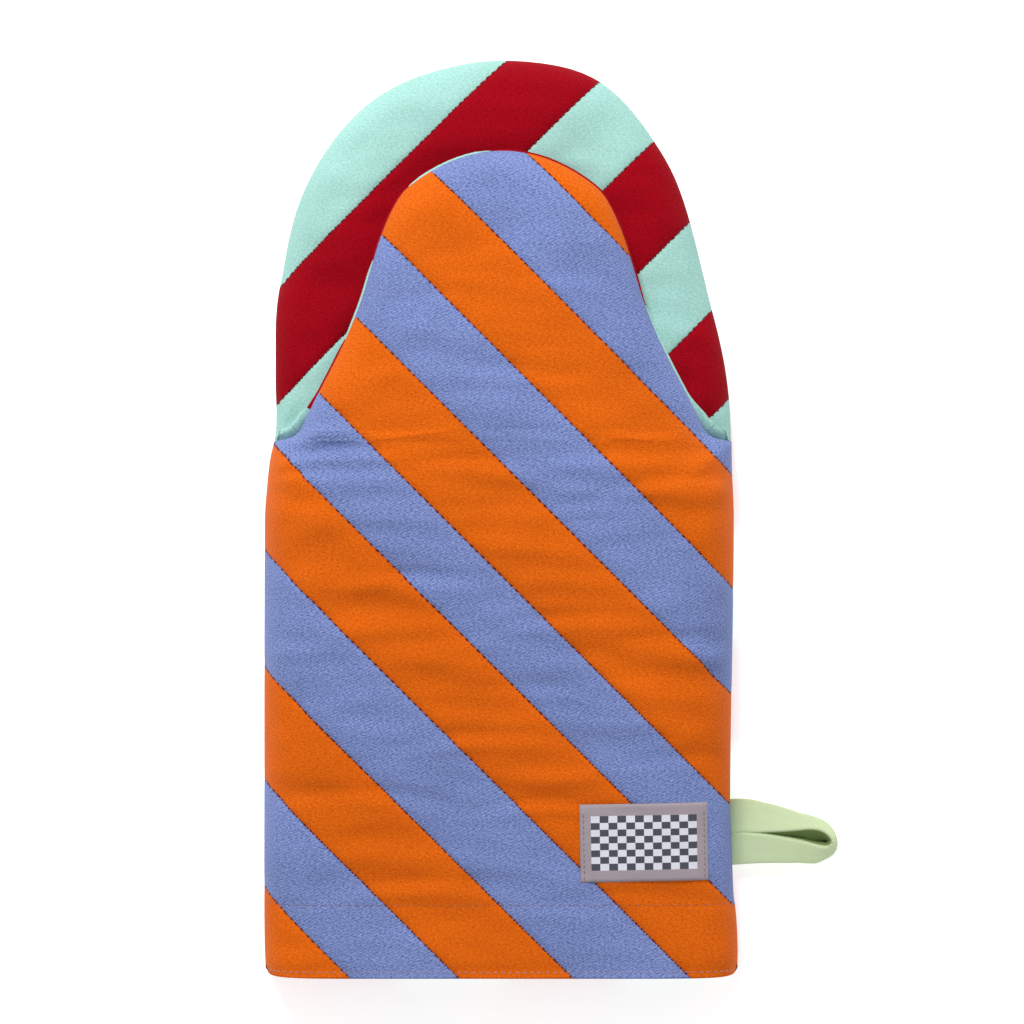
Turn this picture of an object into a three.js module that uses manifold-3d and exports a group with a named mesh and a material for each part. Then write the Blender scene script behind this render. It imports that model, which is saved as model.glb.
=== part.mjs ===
// Padded oven mitt of the wide-thumb kind, lying on its back.
// X runs across the hand towards the hanging loop, Y from the cuff to the fingertips,
// Z up from the resting back of the hand towards the thumb. All sizes in millimetres.
import * as THREE from 'three';
import Module from 'manifold-3d';

const wasm = await Module();
wasm.setup();

// ---- driving dimensions ----
const CUFF_Y = -162.5;
const TIP_Y = 162.5;
const SEAM_GAP = 0.3;

// Depth below the outer surface at which each layer starts and ends.
const SHELL = [0, 0.9];
const WADDING = [1.2, 5.0];
const LINING = [5.3, 5.9];
const HEM = [6.2, 6.8];

// Heights above the table.
const SIDE_SEAM_Z = 7;
const FINGER_RISE = 16;
const CUFF_TOP = 30;
const THUMB_TOP = 45;
const THUMB_SLOT = 1.5;
const THUMB_SEAM_RISE = 7.9;

// Rounding of the puffed edges, measured inwards from the seams.
const TOP_ROUND = 32;
const BACK_ROUND = 7;
const ROUND_POWER = 2.2;

// Where the panels start and stop along Y.
const HEM_DEPTH = 25;
const HEM_WRAP = 0.9;
const PALM_END_Y = 19.6;
const THUMB_FRONT_START_Y = 21.2;
const FOLD_Y = 22;
const THUMB_BACK_START_Y = 23.2;
const FOLD_RADIUS = 0.75;
const FOLD_SIDE_INSET = 11;
const FOLD_TURNS = [1, 0.75, 0.5, 0.25];

// Half widths of the hand and the thumb.
const CUFF_LEFT = 83.7;
const FINGER_LEFT = 80.4;
const CUFF_RIGHT = 82.6;
const RIGHT_TAPER = 0.2;
const RIGHT_TAPER_START_Y = 42;
const THUMB_TIP_Y = 129.7;
const THUMB_CENTRE_X = 0.5;
const THUMB_HALF_WIDTH = 41;
const THUMB_FLARE = 33;
const THUMB_FLARE_LENGTH = 55;
const NARROWING_START_Y = 5;
const NARROWING_LENGTH = 35;

// Rounded ends: height where each side starts to curve in, and how square the curve is.
const LEFT_END = { start: 60, power: 2.15 };
const RIGHT_END = { start: 90, power: 2.5 };
const THUMB_END = { start: 70, power: 2.35 };

// Diagonal seams between strips. FINGER seams lie on x - y = value, all the others on x + y = value.
const PALM_SEAMS = [-215.3, -177, -137, -95.5, -54.8, -20.4, 19, 56.9];
const THUMB_FRONT_SEAMS = [-20.4, 19, 56.9, 96.6, 136.6];
const THUMB_BACK_SEAMS = [-29.6, 7.3, 44.8, 83.5, 125.3];
const FINGER_SEAMS = [-160.4, -119.6, -78.9, -37.4, 1.9, 39.5];
const BACK_SEAMS = [-199, -159.7, -120.4, -81.3, -42.4, -1.6, 36.5, 77.1, 115, 154.6];

// Reach of the slabs that cut a panel into strips.
const CUT_REACH = 400;
const CUT_BOTTOM = -10;
const CUT_TOP = 90;

// Hanging loop and label. Loop points hold x, y and the turn of the tape in degrees.
const TAPE_WIDTH = 12;
const TAPE_THICK = 1;
const LOOP_Z = 6.8;
const LOOP_STEPS = 36;
const LOOP_POINTS = [
  [83.2, -106.2, 90], [92, -106.6, 96], [100, -107.6, 135], [107, -108.9, 170], [113, -110.6, 176],
  [116.7, -112.9, 176], [117.9, -115.8, 170], [116.9, -118.7, 158], [113, -120.3, 150], [107, -119.9, 143],
  [98, -119.3, 122], [90, -118.9, 99], [83.2, -118.8, 90],
];
const LABEL_WIDTH = 45;
const LABEL_HEIGHT = 27.5;
const LABEL_CENTRE = [50.2, -114.2];
const LABEL_LIFT = 0.4;
const LABEL_THICK = 0.8;
const LABEL_COLUMNS = 10;
const LABEL_ROWS = 4;

// Colours.
const ORANGE = '#e0650f';
const BLUE = '#8090c8';
const MINT = '#a8e0d0';
const CRIMSON = '#a80820';
const LINING_WHITE = '#e9e2d2';
const WADDING_WHITE = '#f1efe8';
const LOOP_GREEN = '#c5dda8';
const LABEL_GREY = '#aaaab0';
const CLOTH_ROUGHNESS = 0.95;

// Sampling of the outlines: both run on past the panels so that their ends do not count as edges.
const OUTLINE_STEPS = 60;
const HAND_OUTLINE_START_Y = -325;
const THUMB_OUTLINE_START_Y = -20;
const SLOPE_PROBE = 0.25;
const TIP_SEARCH_DEPTH = 20;
const TIP_SEARCH_STEPS = 40;
const TIP_SIDE_SHARE = 0.08;

// Grid positions across a panel (0 left seam, 1 right seam) and along each panel.
const HALF_COLUMNS = [0, 0.008, 0.025, 0.055, 0.1, 0.18];
const COLUMNS = [...HALF_COLUMNS, 0.5, ...HALF_COLUMNS.map((u) => 1 - u).reverse()];
const HALF_BACK_COLUMNS = [0, 0.005, 0.02, 0.045];
const BACK_COLUMNS = [...HALF_BACK_COLUMNS, 0.5, ...HALF_BACK_COLUMNS.map((u) => 1 - u).reverse()];
const LAYER_START_Y = CUFF_Y + HEM_WRAP + SEAM_GAP;
const PALM_ROWS = [LAYER_START_Y, -137, -112, -87, -60, -33, -6, PALM_END_Y];
const TIP_DROPS = [52, 37, 25, 15.5, 8.5, 3.5, 1];
const FINGER_ROWS = [FOLD_Y, 48, 78, 96, ...TIP_DROPS.slice(1).map((d) => TIP_Y - d)];
const BACK_ROWS = [LAYER_START_Y, -110, -60, -10, 30, 60, 88, ...TIP_DROPS.map((d) => TIP_Y - d)];
const THUMB_STEPS = [40, 58, 75, ...[42, 31, 21, 13, 6.5, 2.5].map((d) => THUMB_TIP_Y - d)];

// ---- outlines ----
function clamp01(value) {
  return Math.min(Math.max(value, 0), 1);
}

function mix(a, b, t) {
  return a + (b - a) * t;
}

function smooth(value) {
  const t = clamp01(value);
  return t * t * (3 - 2 * t);
}

// Half width of a rounded end: 1 up to the start, 0 at the tip.
function dome(y, tip, { start, power }) {
  const t = clamp01((y - start) / (tip - start));
  return (1 - t ** power) ** (1 / power);
}

function handLeft(y) {
  const width = mix(CUFF_LEFT, FINGER_LEFT, smooth((y - NARROWING_START_Y) / NARROWING_LENGTH));
  return -width * dome(y, TIP_Y, LEFT_END);
}

function handRight(y) {
  const width = CUFF_RIGHT - RIGHT_TAPER * Math.max(y - RIGHT_TAPER_START_Y, 0);
  return width * dome(y, TIP_Y, RIGHT_END);
}

function thumbHalf(y) {
  const width = THUMB_HALF_WIDTH + THUMB_FLARE * Math.exp((FOLD_Y - y) / THUMB_FLARE_LENGTH);
  return width * dome(y, THUMB_TIP_Y, THUMB_END);
}

const handOutline = { left: handLeft, right: handRight, tip: TIP_Y, centre: 0 };
const thumbOutline = {
  left: (y) => THUMB_CENTRE_X - thumbHalf(y),
  right: (y) => THUMB_CENTRE_X + thumbHalf(y),
  tip: THUMB_TIP_Y,
  centre: THUMB_CENTRE_X,
};

// Fine polyline up the left side, over the tip and down the right side, used for distances.
function polyline(outline, startY) {
  const side = (edge) => Array.from({ length: OUTLINE_STEPS }, (_, k) => {
    const y = mix(outline.tip, startY, (1 - k / OUTLINE_STEPS) ** 2);
    return [edge(y), y];
  });
  return [...side(outline.left), [outline.centre, outline.tip], ...side(outline.right).reverse()];
}

handOutline.points = polyline(handOutline, HAND_OUTLINE_START_Y);
thumbOutline.points = polyline(thumbOutline, THUMB_OUTLINE_START_Y);

function distance(outline, x, y) {
  let best = Infinity;
  for (let k = 1; k < outline.points.length; k++) {
    const [ax, ay] = outline.points[k - 1];
    const [bx, by] = outline.points[k];
    const length2 = (bx - ax) ** 2 + (by - ay) ** 2;
    const t = clamp01(((x - ax) * (bx - ax) + (y - ay) * (by - ay)) / length2);
    best = Math.min(best, Math.hypot(x - mix(ax, bx, t), y - mix(ay, by, t)));
  }
  return best;
}

// Point of a side at height y, moved inwards by depth; slid level when the row has to stay straight.
function sidePoint(outline, side, y, depth, level) {
  const slope = (outline[side](y + SLOPE_PROBE) - outline[side](y - SLOPE_PROBE)) / (2 * SLOPE_PROBE);
  const inward = side === 'left' ? 1 : -1;
  const length = Math.hypot(1, slope);
  const x = outline[side](y);
  if (level) return [x + inward * depth * length, y];
  return [x + (inward * depth) / length, y - (inward * slope * depth) / length];
}

function tipHeight(outline, x) {
  const side = x < outline.centre ? 'left' : 'right';
  let low = outline.tip - TIP_SEARCH_DEPTH;
  let high = outline.tip;
  for (let k = 0; k < TIP_SEARCH_STEPS; k++) {
    const y = (low + high) / 2;
    const inside = Math.abs(outline[side](y) - outline.centre) > Math.abs(x - outline.centre);
    if (inside) low = y;
    else high = y;
  }
  return (low + high) / 2;
}

function tipPoint(outline, x, depth) {
  const rise = tipHeight(outline, x + SLOPE_PROBE) - tipHeight(outline, x - SLOPE_PROBE);
  const slope = rise / (2 * SLOPE_PROBE);
  const length = Math.hypot(1, slope);
  return [x + (slope * depth) / length, tipHeight(outline, x) - depth / length];
}

// ---- surfaces ----
// Puffed profile: 0 at the seam, 1 once fully rounded.
function puff(r) {
  return (1 - (1 - clamp01(r)) ** ROUND_POWER) ** (1 / ROUND_POWER);
}

// Heights of a layer face at the given depth; inset is the distance from that face's own edge.
function fingerZ(x, y, depth, inset) {
  const rim = SIDE_SEAM_Z + SEAM_GAP / 2;
  const top = SIDE_SEAM_Z + FINGER_RISE - depth;
  return mix(rim, top, puff(inset / (TOP_ROUND - depth)));
}

function palmTop(y) {
  return mix(CUFF_TOP, THUMB_TOP, smooth((y - CUFF_Y) / (FOLD_Y - CUFF_Y)));
}

function palmZ(x, y, depth, inset) {
  const low = fingerZ(x, y, depth, inset);
  return mix(low, palmTop(y) - depth, puff(inset / (TOP_ROUND - depth)));
}

function backZ(x, y, depth, inset) {
  const rim = SIDE_SEAM_Z - SEAM_GAP / 2;
  return mix(rim, depth, puff(inset / (BACK_ROUND - depth)));
}

function fingerTop(x, y) {
  return SIDE_SEAM_Z + FINGER_RISE * puff(distance(handOutline, x, y) / TOP_ROUND);
}

function thumbFrontZ(x, y, depth, inset) {
  const rim = fingerTop(x, y) + THUMB_SEAM_RISE + SEAM_GAP / 2;
  return mix(rim, THUMB_TOP - depth, puff(inset / (TOP_ROUND - depth)));
}

function thumbBackZ(x, y, depth, inset) {
  const rim = fingerTop(x, y) + THUMB_SEAM_RISE - SEAM_GAP / 2;
  const bottom = fingerTop(x, y) + THUMB_SLOT + depth;
  return mix(rim, bottom, puff(inset / (BACK_ROUND - depth)));
}

// ---- grids ----
function rowOf(panel, ends, depth) {
  const last = panel.columns.length - 1;
  return panel.columns.map((u, i) => {
    const x = mix(ends[0][0], ends[1][0], u);
    const py = mix(ends[0][1], ends[1][1], u);
    const onSeam = i === 0 || i === last;
    const inset = onSeam ? 0 : Math.max(distance(panel.outline, x, py) - depth, 0);
    return [x, py, panel.height(x, py, depth, inset)];
  });
}

function straightRow(panel, y, depth, level) {
  const left = sidePoint(panel.outline, 'left', y, depth, level);
  const right = sidePoint(panel.outline, 'right', y, depth, level);
  return rowOf(panel, [left, right], depth);
}

function tipRow(panel, depth) {
  const y = panel.rows[panel.rows.length - 1];
  const left = panel.outline.left(y);
  const right = panel.outline.right(y);
  return panel.columns.map((u) => {
    const along = mix(left, right, mix(TIP_SIDE_SHARE, 1 - TIP_SIDE_SHARE, u));
    const [x, py] = tipPoint(panel.outline, along, depth);
    return [x, py, panel.height(x, py, depth, 0)];
  });
}

// Rows round the crotch fold, from the thumb side to the finger side.
function foldRows(panel, depth) {
  const radius = depth + FOLD_RADIUS;
  const left = handLeft(FOLD_Y) + FOLD_SIDE_INSET;
  const right = handRight(FOLD_Y) - FOLD_SIDE_INSET;
  return FOLD_TURNS.map((turn) => {
    const lift = radius * (1 - Math.cos(turn * Math.PI));
    const y = FOLD_Y - radius * Math.sin(turn * Math.PI);
    return panel.columns.map((u) => {
      const x = mix(left, right, u);
      const inset = Math.max(distance(handOutline, x, FOLD_Y) - depth, 0);
      return [x, y, fingerZ(x, FOLD_Y, depth, inset) + lift];
    });
  });
}

function layerFace(panel, depth) {
  const rows = panel.rows.map((y, j) => straightRow(panel, y, depth, j === 0));
  if (panel.tipped) rows.push(tipRow(panel, depth));
  return panel.folded ? [...foldRows(panel, depth), ...rows] : rows;
}

const PANELS = {
  palm: { outline: handOutline, height: palmZ, rows: PALM_ROWS, columns: COLUMNS },
  back: { outline: handOutline, height: backZ, rows: BACK_ROWS, columns: BACK_COLUMNS, tipped: true },
  finger_front: {
    outline: handOutline, height: fingerZ, rows: FINGER_ROWS, columns: COLUMNS, tipped: true, folded: true,
  },
  thumb_front: {
    outline: thumbOutline,
    height: thumbFrontZ,
    rows: [THUMB_FRONT_START_Y, ...THUMB_STEPS],
    columns: COLUMNS,
    tipped: true,
  },
  thumb_back: {
    outline: thumbOutline,
    height: thumbBackZ,
    rows: [THUMB_BACK_START_Y, ...THUMB_STEPS],
    columns: COLUMNS,
    tipped: true,
  },
};

// ---- solids ----
// Closed body between two matching grids of points.
function solidBetween(faceA, faceB) {
  const rows = faceA.length;
  const columns = faceA[0].length;
  const points = [...faceA.flat(), ...faceB.flat()];
  const at = (side, j, i) => side * rows * columns + j * columns + i;
  const faces = [];
  const quad = (a, b, c, d) => faces.push([a, b, c], [a, c, d]);
  for (let j = 0; j < rows - 1; j++) {
    for (let i = 0; i < columns - 1; i++) {
      quad(at(0, j, i), at(0, j, i + 1), at(0, j + 1, i + 1), at(0, j + 1, i));
      quad(at(1, j, i), at(1, j + 1, i), at(1, j + 1, i + 1), at(1, j, i + 1));
    }
  }
  for (let j = 0; j < rows - 1; j++) {
    quad(at(0, j, 0), at(0, j + 1, 0), at(1, j + 1, 0), at(1, j, 0));
    quad(at(0, j, columns - 1), at(1, j, columns - 1), at(1, j + 1, columns - 1), at(0, j + 1, columns - 1));
  }
  for (let i = 0; i < columns - 1; i++) {
    quad(at(0, 0, i), at(1, 0, i), at(1, 0, i + 1), at(0, 0, i + 1));
    quad(at(0, rows - 1, i), at(0, rows - 1, i + 1), at(1, rows - 1, i + 1), at(1, rows - 1, i));
  }
  if (signedVolume(points, faces) < 0) faces.forEach((face) => face.reverse());
  return { points, faces };
}

function signedVolume(points, faces) {
  return faces.reduce((sum, [a, b, c]) => {
    const [p, q, r] = [points[a], points[b], points[c]];
    return sum + (p[0] * (q[1] * r[2] - q[2] * r[1]) - p[1] * (q[0] * r[2] - q[2] * r[0])
      + p[2] * (q[0] * r[1] - q[1] * r[0])) / 6;
  }, 0);
}

function layer(panelName, [outer, inner]) {
  const panel = PANELS[panelName];
  return solidBetween(layerFace(panel, outer), layerFace(panel, inner));
}

function toManifold({ points, faces }) {
  const mesh = new wasm.Mesh({
    numProp: 3,
    vertProperties: new Float32Array(points.flat()),
    triVerts: new Uint32Array(faces.flat()),
  });
  return new wasm.Manifold(mesh);
}

// Upright slab between two 45 degree planes x + slant * y = low and = high.
function diagonalSlab(low, high, slant) {
  const corner = (s, w, z) => [(s + w) / 2, (slant * (s - w)) / 2, z];
  const square = (z) => [
    [corner(low, -CUT_REACH, z), corner(low, CUT_REACH, z)],
    [corner(high, -CUT_REACH, z), corner(high, CUT_REACH, z)],
  ];
  return toManifold(solidBetween(square(CUT_BOTTOM), square(CUT_TOP)));
}

// ---- the mitt ----
const mitt = new THREE.Group();
mitt.name = 'oven_mitt';

function addMesh(name, geometry, colour) {
  geometry.computeVertexNormals();
  const material = new THREE.MeshStandardMaterial({ color: colour, roughness: CLOTH_ROUGHNESS });
  const mesh = new THREE.Mesh(geometry, material);
  mesh.name = name;
  mitt.add(mesh);
}

function addSolid(name, { points, faces }, colour) {
  const geometry = new THREE.BufferGeometry();
  geometry.setAttribute('position', new THREE.Float32BufferAttribute(points.flat(), 3));
  geometry.setIndex(faces.flat());
  addMesh(name, geometry, colour);
}

// Cuts a shell panel into strips along its diagonal seams, colours taken in turn.
function addStrips(panelName, seams, slant, colours) {
  const skin = toManifold(layer(panelName, SHELL));
  const half = (SEAM_GAP / 2) * Math.SQRT2;
  const edges = [-CUT_REACH, ...seams, CUT_REACH];
  for (let k = 1; k < edges.length; k++) {
    const strip = skin.intersect(diagonalSlab(edges[k - 1] + half, edges[k] - half, slant));
    const { vertProperties, triVerts } = strip.getMesh();
    const geometry = new THREE.BufferGeometry();
    geometry.setAttribute('position', new THREE.BufferAttribute(vertProperties, 3));
    geometry.setIndex(new THREE.BufferAttribute(triVerts, 1));
    addMesh(`${panelName}_strip_${String(k).padStart(2, '0')}`, geometry, colours[(k - 1) % 2]);
  }
}

addStrips('palm', PALM_SEAMS, 1, [ORANGE, BLUE]);
addStrips('thumb_front', THUMB_FRONT_SEAMS, 1, [BLUE, ORANGE]);
addStrips('thumb_back', THUMB_BACK_SEAMS, 1, [MINT, CRIMSON]);
addStrips('finger_front', FINGER_SEAMS, -1, [MINT, CRIMSON]);
addStrips('back', BACK_SEAMS, 1, [CRIMSON, MINT]);

for (const panelName of Object.keys(PANELS)) {
  addSolid(`${panelName}_wadding`, layer(panelName, WADDING), WADDING_WHITE);
  addSolid(`${panelName}_lining`, layer(panelName, LINING), LINING_WHITE);
}

// Hem turned over the mouth edge and up the inside: one face lies on the layers, one shows.
function hem(panelName) {
  const panel = PANELS[panelName];
  const top = CUFF_Y + HEM_DEPTH;
  const [near, far] = HEM;
  const against = [[top, near], [CUFF_Y + HEM_WRAP, near], [CUFF_Y + HEM_WRAP, 0]];
  const showing = [[top, far], [CUFF_Y, far], [CUFF_Y, 0]];
  const face = (path) => path.map(([y, depth]) => straightRow(panel, y, depth, true));
  return solidBetween(face(against), face(showing));
}

addSolid('hem_front', hem('palm'), ORANGE);
addSolid('hem_back', hem('back'), MINT);

// Centreline of the tape and its turn about that line, in degrees: 90 lies flat, 180 stands on edge.
// It leaves the side seam flat, stands up towards the far fold and comes back flat beside itself.
function loopPath() {
  const at = ([x, y, turn]) => new THREE.Vector3(x, y, turn);
  const curve = new THREE.CatmullRomCurve3(LOOP_POINTS.map(at), false, 'centripetal');
  return curve.getSpacedPoints(LOOP_STEPS).map(({ x, y, z }) => ({ x, y, tilt: (z * Math.PI) / 180 }));
}

function loopSolid() {
  const path = loopPath();
  const corner = (k, across, through) => {
    const a = path[Math.max(k - 1, 0)];
    const b = path[Math.min(k + 1, path.length - 1)];
    const { x, y, tilt } = path[k];
    const ends = k === 0 || k === path.length - 1;
    const run = Math.hypot(b.x - a.x, b.y - a.y);
    const normal = ends ? [0, Math.sign(b.x - a.x)] : [-(b.y - a.y) / run, (b.x - a.x) / run];
    const level = across * Math.sin(tilt) + through * Math.cos(tilt);
    const rise = across * Math.cos(tilt) - through * Math.sin(tilt);
    return [x + normal[0] * level, y + normal[1] * level, LOOP_Z + rise];
  };
  const face = (through) => path.map((_, k) => [-1, 1].map((s) => corner(k, (s * TAPE_WIDTH) / 2, through)));
  return solidBetween(face(-TAPE_THICK / 2), face(TAPE_THICK / 2));
}

addSolid('hanging_loop', loopSolid(), LOOP_GREEN);

// Label lying on the palm.
function labelSolid() {
  const face = (lift) => Array.from({ length: LABEL_ROWS + 1 }, (_, j) =>
    Array.from({ length: LABEL_COLUMNS + 1 }, (_unused, i) => {
      const x = LABEL_CENTRE[0] + (i / LABEL_COLUMNS - 0.5) * LABEL_WIDTH;
      const y = LABEL_CENTRE[1] + (j / LABEL_ROWS - 0.5) * LABEL_HEIGHT;
      return [x, y, palmZ(x, y, 0, distance(handOutline, x, y)) + lift];
    }));
  return solidBetween(face(LABEL_LIFT), face(LABEL_LIFT + LABEL_THICK));
}

addSolid('label', labelSolid(), LABEL_GREY);

export default mitt;
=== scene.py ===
"""Oven mitt, the looks.

Same frame as the CAD: +X to the hanging loop, +Y to the fingertips, +Z up from the back of the hand.
Points are worked out in millimetres and kept in metres.
"""
import math

import bmesh
import bpy
import numpy as np
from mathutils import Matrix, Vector


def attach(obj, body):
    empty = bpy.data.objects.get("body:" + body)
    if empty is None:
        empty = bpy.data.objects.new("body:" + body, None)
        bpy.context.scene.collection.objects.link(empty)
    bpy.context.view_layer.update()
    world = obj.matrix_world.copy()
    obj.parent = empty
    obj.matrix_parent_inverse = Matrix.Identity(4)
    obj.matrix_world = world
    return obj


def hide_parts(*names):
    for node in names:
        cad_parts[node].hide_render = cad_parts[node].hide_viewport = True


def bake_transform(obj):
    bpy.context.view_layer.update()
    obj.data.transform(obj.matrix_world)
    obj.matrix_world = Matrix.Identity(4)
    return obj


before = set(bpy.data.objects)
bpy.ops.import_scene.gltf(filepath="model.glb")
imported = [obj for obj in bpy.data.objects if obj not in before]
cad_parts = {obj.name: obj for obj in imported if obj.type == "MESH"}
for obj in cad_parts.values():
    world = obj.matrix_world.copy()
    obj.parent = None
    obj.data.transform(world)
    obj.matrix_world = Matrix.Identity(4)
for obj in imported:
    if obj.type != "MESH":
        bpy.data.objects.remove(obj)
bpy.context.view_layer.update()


MM = 0.001
scene = bpy.context.scene

# ------------------------------------------------------------------ camera, straight above
VIEW_CENTRE = (3.9, 1.6)
VIEW_WIDTH = 362.9  # width of the view at the height VIEW_LEVEL
VIEW_LEVEL = 16.0
LENS = 150.0
SENSOR = 36.0

cam_data = bpy.data.cameras.new("camera")
cam_data.lens = LENS
cam_data.sensor_width = SENSOR
cam_data.dof.use_dof = False
camera = bpy.data.objects.new("camera", cam_data)
scene.collection.objects.link(camera)
camera.location = (
    VIEW_CENTRE[0] * MM,
    VIEW_CENTRE[1] * MM,
    (VIEW_LEVEL + VIEW_WIDTH * LENS / SENSOR) * MM,
)
camera.rotation_euler = (0, 0, 0)
scene.camera = camera

# ------------------------------------------------------------------ sizes, as in the CAD
CUFF_Y, TIP_Y, THUMB_TIP_Y, FOLD_Y = -162.5, 162.5, 128.3, 22.0
THUMB_X = 0.5
HALF_WIDTH = 83.0
SEAM_Z, FINGER_RISE, CUFF_TOP, THUMB_TOP = 7.0, 16.0, 30.0, 45.0
TOP_ROUND, BACK_ROUND, POWER = 32.0, 7.0, 2.2
THUMB_SLOT, THUMB_RISE, LIP_RISE = 1.5, 8.3, 4.2
FOLD_RADIUS = 0.75
FOLD_SHARE = 0.866  # width of the crotch fold against the width of the hand there
HEM_DEPTH = 25.0
EDGE_GAP = 0.7
WADDING_DEPTH = (2.3, 4.9)
LINING_DEPTH = 5.6
HEM_INSIDE = 6.5

# Seams run at 45 degrees: x + y on the front, thumb and back, x - y on the fingers.
FRONT_SEAMS = [-215.3, -177, -137, -95.5, -54.8, -20.4, 19, 56.9, 96.6, 136.6]
FINGER_SEAMS = [-160.4, -119.6, -78.9, -37.4, 1.9, 39.5]
THUMB_BACK_SEAMS = [-29.6, 7.3, 44.8, 83.5, 125.3]
BACK_SEAMS = [-199, -159.7, -120.4, -81.3, -42.4, -1.6, 36.5, 77.1, 115, 154.6]

CORNER_ROWS = np.linspace(26, 30.2, 13)  # the front's outline turns sharply at these heights
OUTLINE_FROM = -400.0
OUTLINE_STEPS = 140

rng = np.random.default_rng(11)


# ------------------------------------------------------------------ outlines and surfaces
def smooth(v):
    t = np.clip(v, 0, 1)
    return t * t * (3 - 2 * t)


def mix(a, b, t):
    return a + (b - a) * t


def outline_curve(table):
    """Half width against y through the table's points. Squares are interpolated, so tips come out round."""
    at = np.array([row[0] for row in table], float)
    square = np.array([row[1] for row in table], float) ** 2
    slope = np.diff(square) / np.diff(at)
    tangent = np.concatenate([[slope[0]], (slope[1:] + slope[:-1]) / 2, [slope[-1]]])
    tangent[1:-1] = np.where(slope[1:] * slope[:-1] <= 0, 0, tangent[1:-1])
    limit = 3 * np.minimum(np.abs(np.append(slope, slope[-1])), np.abs(np.insert(slope, 0, slope[0])))
    tangent = np.clip(tangent, -limit, limit)

    def curve(y):
        y = np.clip(np.asarray(y, float), at[0], at[-1])
        k = np.clip(np.searchsorted(at, y, side="right") - 1, 0, len(at) - 2)
        h = at[k + 1] - at[k]
        t = (y - at[k]) / h
        value = (
            (2 * t**3 - 3 * t**2 + 1) * square[k] + (t**3 - 2 * t**2 + t) * h * tangent[k]
            + (3 * t**2 - 2 * t**3) * square[k + 1] + (t**3 - t**2) * h * tangent[k + 1]
        )
        return np.sqrt(np.maximum(value, 0))

    return curve


left_width = outline_curve([
    (-162.5, 82.4), (-160.7, 83.6), (-157, 84.0), (-130, 84.3), (-60, 84.2), (0, 84.0), (9.4, 83.3),
    (20, 82.2), (25.7, 81.0), (31.4, 80.2), (37, 80.1), (48.4, 80.4), (65.4, 80.4), (76.7, 79.7),
    (88.1, 77.6), (99.4, 75.5), (110.8, 72.3), (122.1, 67.3), (133.4, 60.2), (144.8, 50.0), (150.4, 42.6),
    (156.1, 31.4), (160, 18.5), (TIP_Y, 0),
])
right_width = outline_curve([
    (-162.5, 82.6), (-160.7, 84.0), (-157, 84.3), (-150, 84.2), (-139, 83.5), (-135, 82.9), (-125, 82.4),
    (-97, 81.6), (-75, 81.8), (-54, 82.2), (-1, 82.8), (20, 82.1), (31.4, 81.9), (42.7, 81.2), (54, 79.7),
    (65.4, 77.3), (76.7, 74.4), (88.1, 71.6), (99.4, 68.8), (110.8, 65.6), (122.1, 61.3), (133.4, 54.8),
    (144.8, 46.4), (150.4, 41.0), (156.1, 33.2), (160, 23.0), (TIP_Y, 0),
])
thumb_half = outline_curve([
    (26.2, 90), (26.9, 80), (27.7, 75.5), (29.5, 72.2), (33, 70.0), (42, 65.3), (53, 59.5), (64, 54.2),
    (75, 49.8), (86, 46.4), (97.5, 42.9), (108.6, 38.1), (114.2, 34.4), (120, 26.8), (125.6, 15.4),
    (THUMB_TIP_Y, 0),
])


def hand_left(y):
    return -left_width(y)


def hand_right(y):
    return right_width(y)


def front_left(y):
    return np.maximum(hand_left(y), THUMB_X - thumb_half(y))


def front_right(y):
    return np.minimum(hand_right(y), THUMB_X + thumb_half(y))


def chain(left, right, tip, centre):
    """Outline of a panel as a polyline, running on far below the cuff so that the open mouth is no edge."""
    k = 1 - (1 - np.arange(OUTLINE_STEPS) / OUTLINE_STEPS) ** 2
    y = mix(OUTLINE_FROM, tip, k)
    y = np.sort(np.concatenate([y, np.linspace(26, 30, 17)]))
    side_l = np.stack([left(y), y], 1)
    side_r = np.stack([right(y), y], 1)[::-1]
    return np.concatenate([side_l, [[centre, tip]], side_r])


HAND = chain(hand_left, hand_right, TIP_Y, 0.0)
FRONT = chain(front_left, front_right, THUMB_TIP_Y, THUMB_X)


def distance(line, x, y):
    """Distance of each point to a polyline, some thousand points at a time."""
    shape = np.shape(x)
    p = np.stack([np.ravel(x), np.ravel(y)], 1)
    a, b = line[:-1], line[1:]
    ab = b - a
    out = np.empty(len(p))
    batch = 4000
    for i in range(0, len(p), batch):
        q = p[i : i + batch, None, :]
        t = np.clip(((q - a) * ab).sum(2) / (ab**2).sum(1), 0, 1)
        out[i : i + batch] = np.sqrt((((a + t[..., None] * ab) - q) ** 2).sum(2).min(1))
    return out.reshape(shape)


def puff(r):
    """Cross section of the padding: upright at the seam, flat on top."""
    return (1 - (1 - np.clip(r, 0, 1)) ** POWER) ** (1 / POWER)


def palm_top(y):
    return mix(CUFF_TOP, THUMB_TOP, smooth((y - CUFF_Y) / (FOLD_Y - CUFF_Y)))


def finger_z(x, y, edge=False):
    d = np.where(edge, 0, distance(HAND, x, y))
    return SEAM_Z + FINGER_RISE * puff(d / TOP_ROUND)


def seam_z(x, y, edge):
    """Height of the seam round the thumb and down the sides of the palm."""
    on_hand = edge & (y < FOLD_Y)
    rise = LIP_RISE + (THUMB_RISE - LIP_RISE) * smooth((y - 26) / 16)
    away = smooth(distance(HAND, x, y) / 5) * smooth((y - 23) / 3)
    return finger_z(x, y, on_hand) + rise * away


def front_z(x, y, edge):
    d = np.where(edge, 0, distance(FRONT, x, y))
    return mix(seam_z(x, y, edge), palm_top(y), puff(d / TOP_ROUND))


def thumb_back_z(x, y, edge):
    d = np.where(edge, 0, distance(FRONT, x, y))
    low = finger_z(x, y) + THUMB_SLOT
    return mix(seam_z(x, y, edge), np.minimum(low, seam_z(x, y, edge)), puff(d / BACK_ROUND))


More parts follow.
